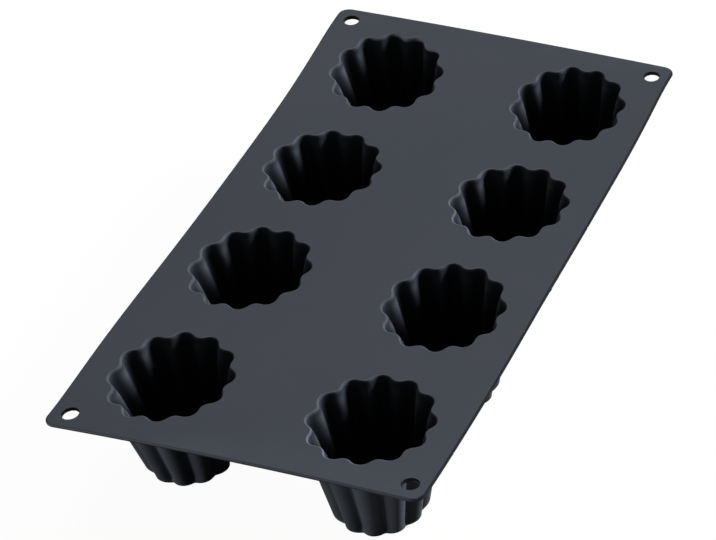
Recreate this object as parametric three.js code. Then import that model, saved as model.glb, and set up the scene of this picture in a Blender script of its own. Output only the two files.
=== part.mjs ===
// Fluted baking mould: a thin sheet with rounded corners and a grid of tapered, fluted cups below it.
// Millimetres, +Z up. The origin is under the middle of the sheet, on the plane that the cup bases
// stand on. +X runs along the long side of the sheet and +Y along its short side.
import * as THREE from "three";

// Cups. Diameters are inside a cup, across the hollows of two opposite flutes.
const cupRows = 4; // along X
const cupColumns = 2; // along Y
const rimDiameter = 54;
const floorDiameter = 37.2;
const fluteCount = 12;
const fluteDepth = 2.6; // at the rim, from the hollow of a flute to the ridge beside it
const cupWall = 2.3;
const cupFloor = 1.8;
const footRadius = 4.5; // round outside edge at the foot of a cup
const footFluteShare = 0.35; // depth of the flutes left on the base, as a share of the wall's
const floorRadius = 2.0; // round inside edge at the floor of a cup
const rootRadius = 1.5; // fillet between a cup and the sheet

// Sheet. Its length and width follow from the cups that it carries.
const standHeight = 48; // from the cup bases to the top of the sheet
const sheetThickness = 2;
const rimGapAlong = 19; // between neighbouring rims along X
const rimGapAcross = 40; // between neighbouring rims along Y
const sheetMargin = 13.5; // from the outermost rims to the edge of the sheet
const cornerRadius = 4;
const hangHoleDiameter = 7.5;
const hangHoleInset = 9; // from each of the two edges beside a hanging hole

// Steps along curves
const stepsPerFlute = 6;
const stepsPerHole = 24;
const cornerDivisions = 3;
const profileDivisions = 1;

// Dark grey silicone, satin
const siliconeColour = 0x43474c;
const siliconeRoughness = 0.55;

const rimRadius = rimDiameter / 2;
const cupHeight = standHeight - sheetThickness;
const rowPitch = rimDiameter + rimGapAlong;
const columnPitch = rimDiameter + rimGapAcross;
const sheetLength = (cupRows - 1) * rowPitch + rimDiameter + 2 * sheetMargin;
const sheetWidth = (cupColumns - 1) * columnPitch + rimDiameter + 2 * sheetMargin;

// Radius inside a cup at a height, in the hollow of a flute.
// The wall is straight from the floor to the sheet.
function hollowRadius(height) {
  const innerFloor = floorDiameter / 2;
  return innerFloor + ((rimRadius - innerFloor) * (height - cupFloor)) / (cupHeight - cupFloor);
}

// Flutes fade out around the foot.
function fluteShare(height) {
  return footFluteShare + (1 - footFluteShare) * Math.min(1, height / footRadius);
}

// Direction of an angle around Z.
function ray(angle) {
  return new THREE.Vector2(Math.cos(angle), Math.sin(angle));
}

// Point of a fluted outline. The radius is drawn in towards the ridges, one of which points along +X, and the
// point then moves out square to the outline, so that a wall keeps its thickness around every flute.
function flutedPoint(angle, radius, outward, share) {
  const depth = (share * fluteDepth) / rimRadius;
  const scale = 1 - (depth * (1 + Math.cos(fluteCount * angle))) / 2;
  const growth = (depth * fluteCount * Math.sin(fluteCount * angle)) / 2;
  const along = ray(angle + Math.PI / 2);
  const square = ray(angle).multiplyScalar(scale).addScaledVector(along, -growth).normalize();
  return ray(angle).multiplyScalar(radius * scale).addScaledVector(square, outward);
}

// Half section of a cup through the hollow of a flute: foot, outside wall, root fillet, seat against
// the sheet, inside wall and floor.
function cupProfile() {
  const innerFloor = floorDiameter / 2;
  const taper = Math.atan2(rimRadius - innerFloor, cupHeight - cupFloor);
  const outerTop = rimRadius + cupWall / Math.cos(taper);
  const outerFoot = outerTop - cupHeight * Math.tan(taper);
  const footRun = footRadius * Math.tan(Math.PI / 4 - taper / 2);
  const floorRun = floorRadius * Math.tan(Math.PI / 4 - taper / 2);
  const rootRun = rootRadius / Math.tan(Math.PI / 4 + taper / 2);
  const path = new THREE.Path();
  path.moveTo(0, 0);
  path.lineTo(outerFoot - footRun, 0);
  path.absarc(outerFoot - footRun, footRadius, footRadius, -Math.PI / 2, -taper, false);
  path.absarc(outerTop + rootRun, cupHeight - rootRadius, rootRadius, Math.PI - taper, Math.PI / 2, true);
  path.lineTo(rimRadius, cupHeight);
  path.absarc(innerFloor - floorRun, cupFloor + floorRadius, floorRadius, -taper, -Math.PI / 2, true);
  path.lineTo(0, cupFloor);
  return path.getPoints(profileDivisions);
}

// The half section turned about Z, with every ring drawn in along the flutes. What lies outside the hollow is
// the wall, and it follows the hollow's outline at its own distance.
function cupGeometry() {
  const geometry = new THREE.LatheGeometry(cupProfile(), fluteCount * stepsPerFlute);
  geometry.rotateX(Math.PI / 2);
  const position = geometry.getAttribute("position");
  for (let i = 0; i < position.count; i++) {
    const x = position.getX(i);
    const y = position.getY(i);
    const height = position.getZ(i);
    const radius = Math.hypot(x, y);
    const outward = Math.max(0, radius - hollowRadius(height));
    const point = flutedPoint(Math.atan2(y, x), radius - outward, outward, fluteShare(height));
    position.setXY(i, point.x, point.y);
  }
  geometry.computeVertexNormals();
  return geometry;
}

// Closed outline around a centre, from the point that is given for each angle.
function closedOutline(centre, steps, pointAt) {
  const points = [];
  for (let i = 0; i < steps; i++) {
    points.push(pointAt((2 * Math.PI * i) / steps).add(centre));
  }
  return new THREE.Path().setFromPoints(points);
}

// Centres of the cups, row by row.
function cupCentres() {
  const centres = [];
  for (let row = 0; row < cupRows; row++) {
    for (let column = 0; column < cupColumns; column++) {
      const x = (row - (cupRows - 1) / 2) * rowPitch;
      const y = ((cupColumns - 1) / 2 - column) * columnPitch;
      centres.push(new THREE.Vector2(x, y));
    }
  }
  return centres;
}

// Rounded rectangle with a fluted opening over each cup and a hanging hole in each corner.
function sheetGeometry() {
  const x = sheetLength / 2;
  const y = sheetWidth / 2;
  const arcX = x - cornerRadius;
  const arcY = y - cornerRadius;
  const shape = new THREE.Shape();
  shape.absarc(arcX, arcY, cornerRadius, 0, Math.PI / 2, false);
  shape.absarc(-arcX, arcY, cornerRadius, Math.PI / 2, Math.PI, false);
  shape.absarc(-arcX, -arcY, cornerRadius, Math.PI, 1.5 * Math.PI, false);
  shape.absarc(arcX, -arcY, cornerRadius, 1.5 * Math.PI, 2 * Math.PI, false);
  for (const centre of cupCentres()) {
    const opening = (angle) => flutedPoint(angle, rimRadius, 0, 1);
    shape.holes.push(closedOutline(centre, fluteCount * stepsPerFlute, opening));
  }
  for (const sideX of [-1, 1]) {
    for (const sideY of [-1, 1]) {
      const centre = new THREE.Vector2(sideX * (x - hangHoleInset), sideY * (y - hangHoleInset));
      const hole = (angle) => ray(angle).multiplyScalar(hangHoleDiameter / 2);
      shape.holes.push(closedOutline(centre, stepsPerHole, hole));
    }
  }
  const extrusion = { depth: sheetThickness, bevelEnabled: false, curveSegments: cornerDivisions };
  return new THREE.ExtrudeGeometry(shape, extrusion);
}

function silicone() {
  return new THREE.MeshStandardMaterial({
    color: siliconeColour,
    roughness: siliconeRoughness,
    metalness: 0,
  });
}

function named(name, geometry) {
  const mesh = new THREE.Mesh(geometry, silicone());
  mesh.name = name;
  return mesh;
}

const mould = new THREE.Group();

// The sheet lies face to face on the tops of the cup walls.
const sheet = named("top_sheet", sheetGeometry());
sheet.position.z = cupHeight;
mould.add(sheet);

cupCentres().forEach((centre, index) => {
  const cup = named("cup_" + (index + 1), cupGeometry());
  cup.position.set(centre.x, centre.y, 0);
  mould.add(cup);
});

export default mould;
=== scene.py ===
import math

import bpy
import numpy as np
from mathutils import Matrix, Vector
from mathutils.geometry import delaunay_2d_cdt


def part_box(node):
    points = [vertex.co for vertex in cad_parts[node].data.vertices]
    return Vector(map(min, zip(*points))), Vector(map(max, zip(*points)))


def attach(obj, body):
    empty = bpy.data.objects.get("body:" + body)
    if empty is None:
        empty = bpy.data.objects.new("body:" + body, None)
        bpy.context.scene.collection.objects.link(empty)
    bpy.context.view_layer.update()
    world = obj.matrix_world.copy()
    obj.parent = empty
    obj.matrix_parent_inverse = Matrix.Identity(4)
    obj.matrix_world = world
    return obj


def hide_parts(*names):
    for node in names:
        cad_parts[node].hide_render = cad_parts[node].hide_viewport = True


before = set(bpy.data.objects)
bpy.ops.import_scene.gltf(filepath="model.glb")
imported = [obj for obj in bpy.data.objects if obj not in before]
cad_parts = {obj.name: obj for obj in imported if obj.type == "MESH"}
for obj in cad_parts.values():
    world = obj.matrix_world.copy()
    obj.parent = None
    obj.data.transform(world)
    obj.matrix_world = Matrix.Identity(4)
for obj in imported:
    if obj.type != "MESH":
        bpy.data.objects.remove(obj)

mm = 0.001
tiny = 1e-9  # metres, heights and places closer than this are the same
millilitres = 1e6  # in a cubic metre
sharpAngle = math.radians(45)  # faces that meet at more than this keep a crisp edge
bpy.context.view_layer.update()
print("frame loaded with", len(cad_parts), "nodes")

# places that come from the frame: the sheet's faces and the middle of every cup
sheetLow, sheetHigh = [np.array(corner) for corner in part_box("top_sheet")]
halfLength, halfWidth = (sheetHigh - sheetLow)[:2] / 2
underside, topFace = sheetLow[2], sheetHigh[2]
cupNodes = sorted(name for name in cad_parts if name.startswith("cup_"))
cupMiddles = {name: np.mean([np.array(corner)[:2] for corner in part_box(name)], axis=0) for name in cupNodes}

# how the limp moulding lies: weights in mm of Legendre polynomials, a row for each order along the sheet
# and a column for each order across it; pulls in mm draw aside two corners, given by their signs, the edge
# on the -Y side round a place along it, given in half lengths, and the feet of the cups
lie = {
    "lift": [[-0.64, 0, -0.22], [0, 1.47, 0.80], [1.21, 0.32, 0.42], [0.50, 1.24, -0.45],
             [1.67, -1.10, -1.14], [-0.32, -0.29, 0], [-0.60, 0.42, 0], [-0.82, 0, 0]],
    "shiftX": [[0.38, 0.26, 0.03], [0, 0.65, 0], [-0.44, -0.18, 0], [0, 0, 0], [-0.11, -0.07, 0]],
    "shiftY": [[-0.45, 0.19, 0.79, -0.19], [0, -0.99, 0, 0], [1.15, -0.25, -0.60, 0.25], [0.31, 0, 0, 0]],
    "corners": {(1, 1): (0, 1.15), (-1, -1): (0, -0.53)},
    "cornerPower": 5,
    "bulge": {"along": 0.15, "width": 0.27, "pull": -0.72, "power": 8},
    "feet": {"cup_1": (0, -0.8), "cup_2": (-2.2, 0.8), "cup_3": (0, -0.8), "cup_4": (0, 0.8),
             "cup_5": (0, -0.8), "cup_6": (0, 2.1), "cup_7": (0, -0.8), "cup_8": (0, 3.3)},
}


# sum of each weight times its polynomials of u and v, places as shares of the half length and half width
def legendreSum(weights, u, v):
    return np.polynomial.legendre.legval2d(u, v, np.array(weights)) * mm


# every point moves by the three sums and the pulls of corners and bulge, times its share of the sheet's
# height, so the feet stay on the floor, and below the sheet also by its foot's pull times its share of the
# way down; a corner's pull fades with a power of u times v, and the bulge with a power of v and a bell
# curve of u
def laid(points, foot=(0, 0)):
    u = points[:, 0] / halfLength
    v = points[:, 1] / halfWidth
    up = points[:, 2] / topFace
    down = np.clip(1 - points[:, 2] / underside, 0, 1)
    shift = np.stack([legendreSum(lie[key], u, v) for key in ("shiftX", "shiftY", "lift")], axis=1)
    for (signX, signY), pull in lie["corners"].items():
        near = (np.clip(signX * u, 0, None) * np.clip(signY * v, 0, None)) ** lie["cornerPower"]
        shift[:, :2] += near[:, None] * np.array(pull) * mm
    bulge = lie["bulge"]
    bell = np.exp(-((u - bulge["along"]) / bulge["width"]) ** 2)
    shift[:, 1] += np.clip(-v, 0, None) ** bulge["power"] * bell * bulge["pull"] * mm
    moved = points + shift * up[:, None]
    moved[:, :2] += down[:, None] * np.array(foot) * mm
    return moved


# an arc in a half section: centre plus radius times (cosine, sine) from one angle to another
def arc(centreR, centreZ, radius, start, end, steps):
    angles = np.linspace(start, end, steps + 1)
    return np.stack([centreR + radius * np.cos(angles), centreZ + radius * np.sin(angles)], axis=1)


# straight run between two points, ends included: a share of one and the rest of the other, in even steps
def run(start, end, steps):
    share = np.linspace(0, 1, steps + 1)[:, None]
    return np.array(start) * (1 - share) + np.array(end) * share


# quads between neighbouring rows of a grid that closes on itself sideways
def ringQuads(rows, columns, first=0, turned=False):
    row, column = np.meshgrid(np.arange(rows - 1), np.arange(columns), indexing="ij")
    here = first + row * columns + column
    beside = first + row * columns + (column + 1) % columns
    quads = np.stack([here, beside, beside + columns, here + columns], axis=-1).reshape(-1, 4)
    return quads[:, ::-1] if turned else quads


# a finished mesh object at the origin, shaded smooth except where faces meet at a sharp angle; edge marks
# painted light for the material, from 1 for a painted highlight to -1 for painted shade
def pieceFrom(name, points, faces, material, edge):
    mesh = bpy.data.meshes.new(name)
    mesh.from_pydata(points.tolist(), [], [face for group in faces for face in group.tolist()])
    mesh.attributes.new("edge", "FLOAT", "POINT").data.foreach_set("value", edge)
    mesh.shade_smooth()
    mesh.set_sharp_from_angle(angle=sharpAngle)
    mesh.materials.append(material)
    piece = bpy.data.objects.new(name, mesh)
    bpy.context.scene.collection.objects.link(piece)
    return piece


# signed volume of a closed mesh: a sixth of the triple product of each triangle's corners, summed over
# triangles fanned from each face's first corner
def signedVolume(points, faces):
    total = 0.0
    for group in faces:
        for k in range(1, group.shape[1] - 1):
            a, b, c = points[group[:, 0]], points[group[:, k]], points[group[:, k + 1]]
            total += np.einsum("ij,ij->", a, np.cross(b, c)) / 6
    return total


cupSet = {
    "flutes": 12,
    "turn": math.radians(0.8),  # of the whole ring of flutes, from a ridge along +X
    "rimRadius": 27.25 * mm,  # inside, in the hollow of a flute, where the cup meets the sheet
    "floorRadius": 18.6 * mm,  # inside, where wall and floor would cross
    "fluteDepth": 3.6 * mm,  # inside, hollow to ridge, below the flare
    "flare": 0.25,  # share of that depth that the ridges lose towards the top of the sheet
    "flareHeight": 8 * mm,
    "flareShare": 0.18,  # how much wider the hollows get there, as a share of a flute
    "hollowShare": 0.40,  # inside, share of a flute's width that the hollow takes, the rest is its ridges
    "grooveDepth": 3.2 * mm,  # outside, behind each ridge
    "ribShare": 0.82,  # outside, share of a flute's width that the rib takes, the rest is its grooves
    "wall": 2.3 * mm,
    "floor": 1.8 * mm,
    "footRound": 4.5 * mm,
    "footFlutes": 0.35,  # depth of the flutes left on the base, as a share of the wall's
    "floorRound": 2.0 * mm,
    "rootRound": 1.5 * mm,  # fillet under the sheet
    "lipRound": 0.8 * mm,  # rounded edge at the top of the sheet
    "lipHighlight": 1.2 * mm,  # below the top of the sheet, how far down the lip gets a painted highlight
    "paintedShadeFrom": 4 * mm,  # below the top of the sheet, where the painted shade inside the cup starts
    "paintedShadeTo": 18 * mm,  # and where that painted shade is darkest
    "ridgeHighlight": 1.0,  # how strong the painted highlight on the ridges is above that
    "hollowPaintedShade": 0.7,  # how strong the painted shade in the hollows is there
    "paintedRun": 2.5 * mm,  # below the sheet, over which both painted marks come in
    "stepsPerFlute": 24,
    "insideSteps": 32,  # up the inside wall
    "outsideSteps": 20,  # down the outside wall
    "roundSteps": 8,  # along the floor's round and the fillet
    "footSteps": 12,  # along the foot's round
    "flatSteps": 5,  # across the floor and the base
    "poleShare": 0.1,  # of the floor's or base's flat, what the triangles round its pole take
}
fluteAngles = np.linspace(0, 2 * np.pi, cupSet["flutes"] * cupSet["stepsPerFlute"], endpoint=False)
fluteRay = np.stack([np.cos(fluteAngles), np.sin(fluteAngles)], axis=1)
wallSlope = (cupSet["rimRadius"] - cupSet["floorRadius"]) / (underside - cupSet["floor"])
wallLean = math.atan(wallSlope)
hollowAngle = math.pi / cupSet["flutes"] + cupSet["turn"]


# wave round a cup, 0 in the middle of a flute and 1 halfway to the next: a parabola over the share of the
# way that is given, then one that bends back to meet the top
def fluteWave(angles, share):
    turns = (angles - cupSet["turn"]) * cupSet["flutes"] / (2 * np.pi)
    way = 2 * np.abs(turns - np.floor(turns) - 0.5)
    return np.where(way < share, way ** 2 / share, 1 - (1 - way) ** 2 / (1 - share))


# radius in the hollows at a height: straight from the floor to the underside of the sheet and on
def wallRadius(height):
    return cupSet["rimRadius"] + (height - underside) * wallSlope


# inside radius: the wall's radius less the flute depth times the wave; fade is a share of that depth, and
# the flare takes off its own share, and widens the hollows, by the square of the way up its height
def insideRadius(angles, height, fade=1.0):
    rise = np.clip(1 - (topFace - height) / cupSet["flareHeight"], 0, 1) ** 2
    depth = fade * cupSet["fluteDepth"] * (1 - cupSet["flare"] * rise)
    share = cupSet["hollowShare"] + cupSet["flareShare"] * rise
    return wallRadius(height) - depth * fluteWave(angles, share)


# outside radius: the wall's radius and its thickness, less the groove depth times the wave
def outsideRadius(angles, height, fade=1.0):
    groove = cupSet["grooveDepth"] * fluteWave(angles, cupSet["ribShare"])
    return wallRadius(height) + cupSet["wall"] / math.cos(wallLean) - fade * groove


# outward direction across a closed outline: the step from the point before to the point after, turned a
# quarter clockwise
def outwardAcross(outline):
    along = np.roll(outline, -1, axis=0) - np.roll(outline, 1, axis=0)
    across = np.stack([along[:, 1], -along[:, 0]], axis=1)
    return across / np.linalg.norm(across, axis=1, keepdims=True)


# flutes fade round the foot: a smooth step from the base's share up to 1 at the height of the foot's round
def fluteFade(height):
    rise = np.clip(height / cupSet["footRound"], 0, 1)
    return cupSet["footFlutes"] + (1 - cupSet["footFlutes"]) * rise * rise * (3 - 2 * rise)


# half section of a cup through a hollow as (radius, height) rows, in two lists: floor, inside wall and
# seat, then root fillet, outside wall, foot and base; a round's middle lies beside the corner where wall
# and flat would cross, by its radius times the tangent of half the angle that it turns through
def cupSection():
    s = cupSet
    corner = math.tan(math.pi / 4 - wallLean / 2)
    outward = s["wall"] / math.cos(wallLean)
    footRadius = wallRadius(0) + outward
    floorArc = arc(s["floorRadius"] - s["floorRound"] * corner, s["floor"] + s["floorRound"],
                   s["floorRound"], -math.pi / 2, -wallLean, s["roundSteps"])
    footArc = arc(footRadius - s["footRound"] * corner, s["footRound"], s["footRound"],
                  -wallLean, -math.pi / 2, s["footSteps"])
    rootArc = arc(wallRadius(underside) + outward + s["rootRound"] * corner, underside - s["rootRound"],
                  s["rootRound"], math.pi / 2, math.pi - wallLean, s["roundSteps"])
    floorStart = (floorArc[0, 0] * s["poleShare"], s["floor"])
    baseEnd = (footArc[-1, 0] * s["poleShare"], 0)
    inner = np.concatenate([
        run(floorStart, floorArc[0], s["flatSteps"])[:-1],
        floorArc[:-1],
        run(floorArc[-1], (wallRadius(underside), underside), s["insideSteps"]),
    ])
    outer = np.concatenate([
        rootArc[:-1],
        run(rootArc[-1], footArc[0], s["outsideSteps"])[:-1],
        footArc[:-1],
        run(footArc[-1], baseEnd, s["flatSteps"]),
    ])
    return inner, outer


# rows of a section carried round a fluted outline, each row scaled to its own share of the wall's radius
def carriedRound(rows, outline):
    radius, height = rows[:, 0, None], rows[:, 1, None]
    reach = radius * outline(fluteAngles, height, fluteFade(height)) / outline(hollowAngle, height)
    tall = np.broadcast_to(height, reach.shape)
    return np.concatenate([reach[..., None] * fluteRay, tall[..., None]], axis=2).reshape(-1, 3)


# painted light inside a cup: painted shade that deepens evenly with the way down from one depth to another,
# and above that painted shade in the hollows going to a painted highlight on the ridges with the square of
# the wave
def insideMarks(heights):
    deep = (topFace - heights - cupSet["paintedShadeFrom"]) / (cupSet["paintedShadeTo"] - cupSet["paintedShadeFrom"])
    dark = np.clip(deep, 0, 1)[:, None]
    rimShare = np.clip((underside - heights) / cupSet["paintedRun"], 0, 1)[:, None] * (1 - dark)
    crest = fluteWave(fluteAngles, cupSet["hollowShare"]) ** 2
    return rimShare * (cupSet["ridgeHighlight"] * crest - cupSet["hollowPaintedShade"] * (1 - crest)) - dark


# a cup: its inner rows carried round the inside outline and its outer rows round the outside one, with a
# pole that closes the floor and one that closes the base
def makeCup(name, node, material):
    inner, outer = cupSection()
    grid = np.concatenate([carriedRound(inner, insideRadius), carriedRound(outer, outsideRadius)])
    poles = np.array([[0, 0, cupSet["floor"]], [0, 0, 0]])
    poleMarks = [-1, 0]  # painted shade in the middle of the floor, plain under the base
    points = np.concatenate([grid, poles]) + np.append(cupMiddles[node], 0)
    columns = len(fluteAngles)
    rowCount = len(inner) + len(outer)
    lastRow = (rowCount - 1) * columns
    ring = np.arange(columns)
    beside = np.roll(ring, -1)
    floorFan = np.stack([np.full(columns, len(grid)), ring, beside], axis=1)
    baseFan = np.stack([np.full(columns, len(grid) + 1), lastRow + beside, lastRow + ring], axis=1)
    faces = [ringQuads(rowCount, columns, turned=True), floorFan, baseFan]
    edge = np.concatenate([insideMarks(inner[:, 1]).ravel(), np.zeros(len(outer) * columns), poleMarks])
    points = laid(points, lie["feet"][node])
    print(" ", name, "volume", round(signedVolume(points, faces) * millilitres, 2), "ml")
    return pieceFrom(name, points, faces, material, edge)


sheetSet = {
    "cornerRadius": 5.5 * mm,
    "edgeRound": 0.8 * mm,
    "frontFacing": -0.7,  # x of the outward direction, below which the edge is the front
    "holeRadius": 3.75 * mm,
    "holeInset": 9 * mm,
    "holeNudge": {(1, 1): (-0.8, 0.35), (1, -1): (-1.4, -0.5),  # in mm, by the corner's signs
                  (-1, 1): (-0.35, -0.45), (-1, -1): (0.1, -0.9)},
    "holeRound": 0.2 * mm,
    "support": 0.3 * mm,  # flat strip beside a rounded edge
    "grid": 4 * mm,  # spacing of points over the flat
    "clear": 1.6 * mm,  # free strip between those points and an outline
    "roundSteps": 8,  # over a rounded edge
    "wallSteps": 4,  # down a cup's mouth, from its lip to the underside
    "cornerSteps": 14,
    "holeSteps": 64,
}


# rounded rectangle as points and outward directions: four arcs joined by straight edges in even steps
def sheetOutline():
    s = sheetSet
    arcX, arcY = halfLength - s["cornerRadius"], halfWidth - s["cornerRadius"]
    points, outward = [], []
    corners = [(arcX, arcY), (-arcX, arcY), (-arcX, -arcY), (arcX, -arcY)]
    for k, corner in enumerate(corners):
        angles = np.linspace(0, np.pi / 2, s["cornerSteps"] + 1) + k * np.pi / 2
        ray = np.stack([np.cos(angles), np.sin(angles)], axis=1)
        bend = np.array(corner) + s["cornerRadius"] * ray
        nextStart = np.array(corners[(k + 1) % len(corners)]) + s["cornerRadius"] * ray[-1]
        steps = int(np.linalg.norm(nextStart - bend[-1]) / s["grid"])
        edge = run(bend[-1], nextStart, steps)[1:-1]
        points += [bend, edge]
        outward += [ray, np.broadcast_to(ray[-1], edge.shape)]
    return np.concatenate(points), np.concatenate(outward)


# a rounded edge as (distance into the flat, height) rows, from a strip on the top face over the round
# and down a wall; the round is a quarter circle less the lean of the wall
def edgeSection(rounding, lean=0.0):
    turn = np.linspace(0, math.pi / 2 - lean, sheetSet["roundSteps"] + 1)
    inward = rounding * (math.cos(lean) - np.sin(turn))
    height = topFace - rounding + rounding * np.cos(turn)
    strip = [inward[0] + sheetSet["support"], topFace]
    return np.concatenate([[strip], np.stack([inward, height], axis=1)])


# the same edge with its mirror image below, for an edge that is round on both faces
def bothEdges(rounding):
    upper = edgeSection(rounding)
    lower = upper[::-1].copy()
    lower[:, 1] = topFace + underside - lower[:, 1]
    return np.concatenate([upper, lower])


# rows of an edge that lie between two heights, without those on them
def rowsBetween(heights, low, high):
    return (heights < high - tiny) & (heights > low + tiny)


# distance outside a rounded rectangle of the sheet's size, less than 0 on the sheet
def outsideSheet(points):
    arcSize = np.array([halfLength, halfWidth]) - sheetSet["cornerRadius"]
    beyond = np.abs(points) - arcSize
    outer = np.linalg.norm(np.maximum(beyond, 0), axis=1)
    return outer + np.minimum(beyond.max(axis=1), 0) - sheetSet["cornerRadius"]


# distance outside a loop round a middle, along the radius: the loop's own radius is read at each point's
# angle
def outsideLoop(points, middle, loop):
    away, rim = points - middle, loop - middle
    reach = np.interp(np.arctan2(away[:, 1], away[:, 0]), np.arctan2(rim[:, 1], rim[:, 0]),
                      np.hypot(rim[:, 0], rim[:, 1]), period=2 * np.pi)
    return np.hypot(away[:, 0], away[:, 1]) - reach


# triangles over the flat between the loops: constrained Delaunay on the loops and a grid of points,
# keeping the triangles whose middle lies on the sheet and outside every opening
def fillFlat(loops, inner, keep):
    points = np.concatenate(loops + [inner])
    edges, first = [], 0
    for loop in loops:
        ring = first + np.arange(len(loop))
        edges.append(np.stack([ring, np.roll(ring, -1)], axis=1))
        first += len(loop)
    places = [Vector(point) for point in points]
    _, _, corners, sources, _, _ = delaunay_2d_cdt(places, np.concatenate(edges).tolist(), [], 0, tiny, True)
    origin = np.array([source[0] for source in sources])
    triangles = origin[np.array(corners)]
    middles = points[triangles].mean(axis=1)
    return triangles[keep(middles)]


# the sheet: rounded edges carried round its outline, its holes and the cup rims, and two flat faces
def makeSheet(material):
    s = sheetSet
    holeAngles = np.linspace(0, 2 * np.pi, s["holeSteps"], endpoint=False)
    holeRay = np.stack([np.cos(holeAngles), np.sin(holeAngles)], axis=1)
    holeReach = np.array([halfLength, halfWidth]) - s["holeInset"]
    nudges = s["holeNudge"].items()
    holeMiddles = [np.array(signs) * holeReach + np.array(nudge) * mm for signs, nudge in nudges]
    outline, outlineOut = sheetOutline()
    rows, marks, faces = [], [], []
    topLoops, underLoops, topRings, underRings = [], [], [], []
    count = 0

    # one rounded edge carried round a loop, with its marks for the material
    def addRing(ring, heights, mark, turned):
        nonlocal count
        steps, columns = ring.shape[:2]
        tall = np.broadcast_to(heights[:, None, None], (steps, columns, 1))
        rows.append(np.concatenate([ring, tall], axis=2).reshape(-1, 3))
        marks.append(np.broadcast_to(mark, (steps, columns)).ravel())
        faces.append(ringQuads(steps, columns, count, turned))
        topLoops.append(ring[0])
        underLoops.append(ring[-1])
        topRings.append(count + np.arange(columns))
        underRings.append(count + (steps - 1) * columns + np.arange(columns))
        count += steps * columns

    # the outer edge gets painted shade, marked -1 between its strips, but not the upper half of its front
    inward, heights = bothEdges(s["edgeRound"]).T
    upper = heights > (topFace + underside) / 2
    front = outlineOut[:, 0] < s["frontFacing"]
    paintedDark = rowsBetween(heights, underside, topFace)[:, None] & ~(upper[:, None] & front)
    addRing(outline - inward[:, None, None] * outlineOut, heights, -paintedDark.astype(float), True)

    # the walls of the holes get painted shade, marked -1 too
    inward, heights = bothEdges(s["holeRound"]).T
    ring = (s["holeRadius"] + inward)[:, None, None] * holeRay
    holeShade = rowsBetween(heights, underside, topFace)[:, None]
    for middle in holeMiddles:
        addRing(middle + ring, heights, -holeShade.astype(float), False)

    # the lips of the cups get a painted highlight, marked 1 just below the top face
    lipEnd = topFace - cupSet["lipRound"] * (1 - math.sin(wallLean))
    inward, lipHeights = edgeSection(cupSet["lipRound"], wallLean).T
    lip = insideRadius(fluteAngles, lipEnd)[:, None] * fluteRay
    lip = lip + inward[:, None, None] * outwardAcross(lip)
    wallHeights = np.linspace(lipEnd, underside, s["wallSteps"] + 1)[1:]
    below = insideRadius(fluteAngles, wallHeights[:, None])[..., None] * fluteRay
    ring = np.concatenate([lip, below])
    heights = np.concatenate([lipHeights, wallHeights])
    highlit = rowsBetween(heights, topFace - cupSet["lipHighlight"], topFace)[:, None]
    for name in cupNodes:
        addRing(cupMiddles[name] + ring, heights, highlit.astype(float), False)

    openings = holeMiddles + [cupMiddles[name] for name in cupNodes]

    # inside the sheet's outline, and outside the loops round the holes and cups, by a distance
    def onFlat(points, loops, clear):
        free = outsideSheet(points) < -clear
        for middle, loop in zip(openings, loops[1:]):
            free &= outsideLoop(points, middle, loop) > clear
        return free

    x = np.arange(-halfLength, halfLength, s["grid"]) + s["grid"] / 2
    y = np.arange(-halfWidth, halfWidth, s["grid"]) + s["grid"] / 2
    inner = np.stack(np.meshgrid(x, y), axis=-1).reshape(-1, 2)
    inner = inner[onFlat(inner, topLoops, s["clear"])]
    innerTop = count + np.arange(len(inner))
    rows.append(np.column_stack([inner, np.full(len(inner), topFace)]))
    innerUnder = innerTop + len(inner)
    rows.append(np.column_stack([inner, np.full(len(inner), underside)]))
    topIndex = np.concatenate(topRings + [innerTop])
    underIndex = np.concatenate(underRings + [innerUnder])
    faces.append(topIndex[fillFlat(topLoops, inner, lambda p: onFlat(p, topLoops, 0))])
    faces.append(underIndex[fillFlat(underLoops, inner, lambda p: onFlat(p, underLoops, 0))][:, ::-1])
    points = laid(np.concatenate(rows))
    edge = np.concatenate(marks + [np.zeros(2 * len(inner))])
    print("  sheet volume", round(signedVolume(points, faces) * millilitres, 2), "ml")
    return pieceFrom("silicone_sheet", points, faces, material, edge)


# the node tree of a material or a world, emptied
def emptyTree(owner):
    owner.use_nodes = True
    owner.node_tree.nodes.clear()
    return owner.node_tree


# a node in a tree with some of its inputs set; a mix node's input 0 is its share, inputs 2 and 3 are two
# numbers and inputs 6 and 7 two colours, and its outputs 0 and 2 are the number and the colour between them
def addNode(tree, kind, inputs=None, **fields):
    made = tree.nodes.new(kind)
    for field, value in fields.items():
        setattr(made, field, value)
    for key, value in (inputs or {}).items():
        made.inputs[key].default_value = value
    return made


# an empty shader node group with its sockets, given as name and kind
def newGroup(name, inputs, outputs):
    group = bpy.data.node_groups.new(name, "ShaderNodeTree")
    for label, kind in inputs.items():
        group.interface.new_socket(name=label, in_out="INPUT", socket_type="NodeSocket" + kind)
    for label, kind in outputs.items():
        group.interface.new_socket(name=label, in_out="OUTPUT", socket_type="NodeSocket" + kind)
    return group, addNode(group, "NodeGroupInput"), addNode(group, "NodeGroupOutput")


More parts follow.
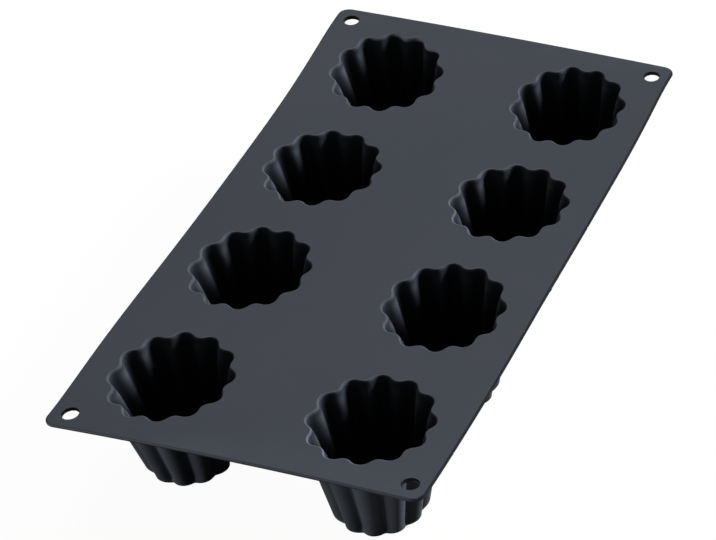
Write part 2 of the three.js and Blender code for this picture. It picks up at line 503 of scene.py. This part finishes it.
silicone = {
    "dark": (0.0222, 0.0256, 0.0330, 1),
    "pale": (0.0286, 0.0328, 0.0416, 1),
    "highlightColour": (0.0640, 0.0710, 0.0840, 1),  # painted highlight on the lips and ridges
    "shadeColour": (0.0060, 0.0068, 0.0085, 1),  # painted shade on the outer edge and the walls of the holes, and in the hollows and depths of the cups
    "specularTint": (0.86, 0.92, 1.0, 1),
    "ior": 1.4,
    "roughness": (0.56, 0.66),  # where its tone is dark and where it is pale
    "cloudScale": 34.0,  # broad clouds, about 30 mm
    "cloudRoughness": 0.5,
    "blotchScale": 150.0,  # small blotches, about 7 mm
    "blotchRoughness": 0.6,
    "blotchShare": 0.4,  # of the tone, the rest is clouds
    "toneDetail": 3.0,
    "toneRange": (0.3, 0.7),  # of the noise, spread out from dark to pale
    "evenHighlight": 0.5,  # share of the painted highlight that is even, the rest follows the tone
    "grainScale": 1900.0,  # skin of the moulding, about 0.5 mm
    "grainDetail": 2.0,
    "grainHeight": 0.03 * mm,
    "grainStrength": 0.5,
}


# uneven tone: broad clouds and small blotches of noise, mixed by the share of blotches and spread out
def toneGroup():
    s = silicone
    group, start, end = newGroup("uneven_tone", {"Place": "Vector"}, {"Tone": "Float"})
    cloud = addNode(group, "ShaderNodeTexNoise", {
        "Scale": s["cloudScale"], "Detail": s["toneDetail"], "Roughness": s["cloudRoughness"]})
    blotch = addNode(group, "ShaderNodeTexNoise", {
        "Scale": s["blotchScale"], "Detail": s["toneDetail"], "Roughness": s["blotchRoughness"]})
    blend = addNode(group, "ShaderNodeMix", {0: s["blotchShare"]})
    low, high = s["toneRange"]
    spread = addNode(group, "ShaderNodeMapRange", {"From Min": low, "From Max": high})
    group.links.new(start.outputs["Place"], cloud.inputs["Vector"])
    group.links.new(start.outputs["Place"], blotch.inputs["Vector"])
    group.links.new(cloud.outputs["Fac"], blend.inputs[2])
    group.links.new(blotch.outputs["Fac"], blend.inputs[3])
    group.links.new(blend.outputs[0], spread.inputs["Value"])
    group.links.new(spread.outputs["Result"], end.inputs["Tone"])
    return group


# fine skin: noise as a height, turned into a normal
def skinGroup():
    s = silicone
    group, start, end = newGroup("moulded_skin", {"Place": "Vector"}, {"Normal": "Vector"})
    grain = addNode(group, "ShaderNodeTexNoise", {"Scale": s["grainScale"], "Detail": s["grainDetail"]})
    bump = addNode(group, "ShaderNodeBump", {"Strength": s["grainStrength"], "Distance": s["grainHeight"]})
    group.links.new(start.outputs["Place"], grain.inputs["Vector"])
    group.links.new(grain.outputs["Fac"], bump.inputs["Height"])
    group.links.new(bump.outputs["Normal"], end.inputs["Normal"])
    return group


# how strong the painted highlight is, its mark times the even share plus the rest times the tone, and how
# strong the painted shade is, its mark with the sign turned; both between 0 and 1
def edgeGroup():
    even = silicone["evenHighlight"]
    group, start, end = newGroup("painted_light_and_shade", {"Edge": "Float", "Tone": "Float"},
                                 {"PaintedHighlight": "Float", "PaintedShade": "Float"})
    uneven = addNode(group, "ShaderNodeMath", {1: 1 - even, 2: even}, operation="MULTIPLY_ADD")
    highlit = addNode(group, "ShaderNodeMath", operation="MULTIPLY", use_clamp=True)
    paintedDark = addNode(group, "ShaderNodeMath", {1: -1.0}, operation="MULTIPLY", use_clamp=True)
    group.links.new(start.outputs["Tone"], uneven.inputs[0])
    group.links.new(uneven.outputs[0], highlit.inputs[0])
    group.links.new(start.outputs["Edge"], highlit.inputs[1])
    group.links.new(start.outputs["Edge"], paintedDark.inputs[0])
    group.links.new(highlit.outputs[0], end.inputs["PaintedHighlight"])
    group.links.new(paintedDark.outputs[0], end.inputs["PaintedShade"])
    return group


# dark satin silicone: tone between dark and pale, paler with painted highlight and darker with painted shade,
# rougher where its tone is paler
def makeSilicone():
    material = bpy.data.materials.new("slate_silicone")
    tree = emptyTree(material)
    out = addNode(tree, "ShaderNodeOutputMaterial")
    shader = addNode(tree, "ShaderNodeBsdfPrincipled", {"IOR": silicone["ior"], "Metallic": 0.0,
                                                        "Specular Tint": silicone["specularTint"]})
    place = addNode(tree, "ShaderNodeTexCoord")
    mark = addNode(tree, "ShaderNodeAttribute", attribute_name="edge")
    tone = addNode(tree, "ShaderNodeGroup", node_tree=toneGroup())
    fine = addNode(tree, "ShaderNodeGroup", node_tree=skinGroup())
    edgeLight = addNode(tree, "ShaderNodeGroup", node_tree=edgeGroup())
    colour = addNode(tree, "ShaderNodeMix", {6: silicone["dark"], 7: silicone["pale"]}, data_type="RGBA")
    # painted highlight, then painted shade, laid over the tone
    highlighted = addNode(tree, "ShaderNodeMix", {7: silicone["highlightColour"]}, data_type="RGBA")
    paintedDark = addNode(tree, "ShaderNodeMix", {7: silicone["shadeColour"]}, data_type="RGBA")
    smooth, coarse = silicone["roughness"]
    rough = addNode(tree, "ShaderNodeMapRange", {"To Min": smooth, "To Max": coarse})
    link = tree.links.new
    link(place.outputs["Object"], tone.inputs["Place"])
    link(place.outputs["Object"], fine.inputs["Place"])
    link(mark.outputs["Fac"], edgeLight.inputs["Edge"])
    link(tone.outputs["Tone"], edgeLight.inputs["Tone"])
    link(tone.outputs["Tone"], colour.inputs[0])
    link(tone.outputs["Tone"], rough.inputs["Value"])
    link(edgeLight.outputs["PaintedHighlight"], highlighted.inputs[0])
    link(edgeLight.outputs["PaintedShade"], paintedDark.inputs[0])
    link(colour.outputs[2], highlighted.inputs[6])
    link(highlighted.outputs[2], paintedDark.inputs[6])
    link(paintedDark.outputs[2], shader.inputs["Base Color"])
    link(rough.outputs["Result"], shader.inputs["Roughness"])
    link(fine.outputs["Normal"], shader.inputs["Normal"])
    link(shader.outputs["BSDF"], out.inputs["Surface"])
    return material


skin = makeSilicone()
print("making the sheet")
sheet = makeSheet(skin)
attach(sheet, "root")
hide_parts("top_sheet")
print("making the cups")
for name in cupNodes:
    cup = makeCup("fluted_" + name, name, skin)
    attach(cup, "root")
    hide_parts(name)


stageSet = {
    "white": (1, 1, 1, 1),
    "floorSize": 6.0,
    "floorDrop": 0.2 * mm,  # how far the floor lies below the feet
    "floorColour": (1, 1, 1, 1),  # as the camera sees it
    "floorBounce": (0.18, 0.18, 0.18, 1),  # as it lights the mould
    "floorWhite": 0.965,  # share of plain white in what the camera sees, the rest shows the shadow
    "floorShine": 0.02,  # share of plain white in what the silicone reflects
    "worldLight": 0.05,
    "worldShine": 0.06,  # share of plain white in what the silicone reflects
}


# 1 on a ray that comes off a shiny surface or through a clear one, else 0: the larger of the two
def mirroredRay(tree, path):
    mirrored = addNode(tree, "ShaderNodeMath", operation="MAXIMUM")
    tree.links.new(path.outputs["Is Glossy Ray"], mirrored.inputs[0])
    tree.links.new(path.outputs["Is Transmission Ray"], mirrored.inputs[1])
    return mirrored.outputs[0]


# floor: a lit surface mixed with plain white, by the camera's share or by the share for reflections
def makeFloor():
    s = stageSet
    half = s["floorSize"] / 2
    mesh = bpy.data.meshes.new("floor")
    corners = [(-half, -half, 0), (half, -half, 0), (half, half, 0), (-half, half, 0)]
    mesh.from_pydata(corners, [], [(0, 1, 2, 3)])
    material = bpy.data.materials.new("white_floor")
    tree = emptyTree(material)
    out = addNode(tree, "ShaderNodeOutputMaterial")
    path = addNode(tree, "ShaderNodeLightPath")
    colour = addNode(tree, "ShaderNodeMix", {6: s["floorBounce"], 7: s["floorColour"]}, data_type="RGBA")
    lit = addNode(tree, "ShaderNodeBsdfDiffuse")
    glow = addNode(tree, "ShaderNodeEmission", {"Color": s["white"], "Strength": 1.0})
    shine = addNode(tree, "ShaderNodeMath", {1: s["floorShine"]}, operation="MULTIPLY")
    share = addNode(tree, "ShaderNodeMath", {1: s["floorWhite"]}, operation="MULTIPLY_ADD")
    mix = addNode(tree, "ShaderNodeMixShader")
    link = tree.links.new
    link(path.outputs["Is Camera Ray"], colour.inputs[0])
    link(colour.outputs[2], lit.inputs["Color"])
    link(mirroredRay(tree, path), shine.inputs[0])
    link(path.outputs["Is Camera Ray"], share.inputs[0])
    link(shine.outputs[0], share.inputs[2])
    link(share.outputs[0], mix.inputs[0])
    link(lit.outputs[0], mix.inputs[1])
    link(glow.outputs[0], mix.inputs[2])
    link(mix.outputs[0], out.inputs["Surface"])
    material.cycles.emission_sampling = "NONE"
    mesh.materials.append(material)
    floor = bpy.data.objects.new("floor", mesh)
    floor.location.z = -s["floorDrop"]
    bpy.context.scene.collection.objects.link(floor)


# world: plain white to the camera, a low even light otherwise, mixed with a share of white in reflections
def makeWorld():
    s = stageSet
    world = bpy.data.worlds.new("studio")
    bpy.context.scene.world = world
    tree = emptyTree(world)
    out = addNode(tree, "ShaderNodeOutputWorld")
    path = addNode(tree, "ShaderNodeLightPath")
    light = addNode(tree, "ShaderNodeBackground", {"Color": s["white"], "Strength": s["worldLight"]})
    white = addNode(tree, "ShaderNodeBackground", {"Color": s["white"], "Strength": 1.0})
    seen = addNode(tree, "ShaderNodeMath", {1: s["worldShine"]}, operation="MULTIPLY_ADD")
    mix = addNode(tree, "ShaderNodeMixShader")
    link = tree.links.new
    link(mirroredRay(tree, path), seen.inputs[0])
    link(path.outputs["Is Camera Ray"], seen.inputs[2])
    link(seen.outputs[0], mix.inputs[0])
    link(light.outputs[0], mix.inputs[1])
    link(white.outputs[0], mix.inputs[2])
    link(mix.outputs[0], out.inputs["Surface"])


# in metres and watts; a lamp that isn't mirrored is hidden from reflections
lamps = {
    "right_softbox": {"place": (1.66, -1.73, 1.04), "aim": (0.0, 0.0, 0.04), "size": (0.9, 1.0),
                      "power": 150.0, "mirrored": False},
    "back_softbox": {"place": (1.04, 0.65, 2.34), "aim": (0.0, 0.0, 0.04), "size": (1.1, 1.1),
                     "power": 35.0, "mirrored": True},
    "left_strip": {"place": (-1.6, 1.5, 0.013), "aim": (0.0, 0.0, 0.013), "size": (1.2, 0.02),
                   "power": 40.0, "mirrored": True},
    "right_strip": {"place": (1.5, -1.75, 0.013), "aim": (-0.1, -0.05, 0.013), "size": (0.35, 0.02),
                    "power": 130.0, "mirrored": False},
}


# each lamp is a lit rectangle at its place, turned to face its aim
def makeLamps():
    for name, lamp in lamps.items():
        data = bpy.data.lights.new(name, "AREA")
        data.shape = "RECTANGLE"
        data.size, data.size_y = lamp["size"]
        data.energy = lamp["power"]
        box = bpy.data.objects.new(name, data)
        place, aim = Vector(lamp["place"]), Vector(lamp["aim"])
        facing = (aim - place).to_track_quat("-Z", "Y").to_matrix().to_4x4()
        box.matrix_world = Matrix.Translation(place) @ facing
        box.visible_glossy = lamp["mirrored"]
        bpy.context.scene.collection.objects.link(box)


view = {
    "aim": (-25.1 * mm, -1.92 * mm),  # where the line of sight meets the top of the sheet
    "distance": 1204.2 * mm,
    "farthest": 50,  # metres, what lies past this isn't seen
    "azimuth": math.radians(32.105),  # from +X towards +Y
    "elevation": math.radians(40.02),
    "lean": math.radians(10.604),  # the picture's turn about the line of sight
    "focalPixels": 2747.9,
    "pictureWidth": 716,
    "sensor": 36.0,  # width in mm
}


# the line of sight runs along the azimuth and down by the elevation, and the picture's right and down are
# the level ones turned by the lean; the lens is the focal length in widths of the picture times the sensor
def makeCamera():
    azimuth, elevation, lean = view["azimuth"], view["elevation"], view["lean"]
    level = math.cos(elevation)
    sight = Vector((level * math.cos(azimuth), level * math.sin(azimuth), -math.sin(elevation)))
    levelRight = sight.cross(Vector((0, 0, 1))).normalized()
    levelDown = sight.cross(levelRight)
    right = math.cos(lean) * levelRight + math.sin(lean) * levelDown
    down = math.cos(lean) * levelDown - math.sin(lean) * levelRight
    data = bpy.data.cameras.new("photo_view")
    data.sensor_fit = "HORIZONTAL"
    data.sensor_width = view["sensor"]
    data.lens = view["focalPixels"] / view["pictureWidth"] * view["sensor"]
    data.clip_end = view["farthest"]
    camera = bpy.data.objects.new("photo_view", data)
    place = Vector((*view["aim"], topFace)) - view["distance"] * sight
    turn = Matrix((right, -down, -sight)).transposed()
    camera.matrix_world = Matrix.Translation(place) @ turn.to_4x4()
    bpy.context.scene.collection.objects.link(camera)
    bpy.context.scene.camera = camera


makeFloor()
makeWorld()
makeLamps()
makeCamera()
bpy.context.scene.view_settings.view_transform = "Standard"
print("stage, lamps and camera are set")
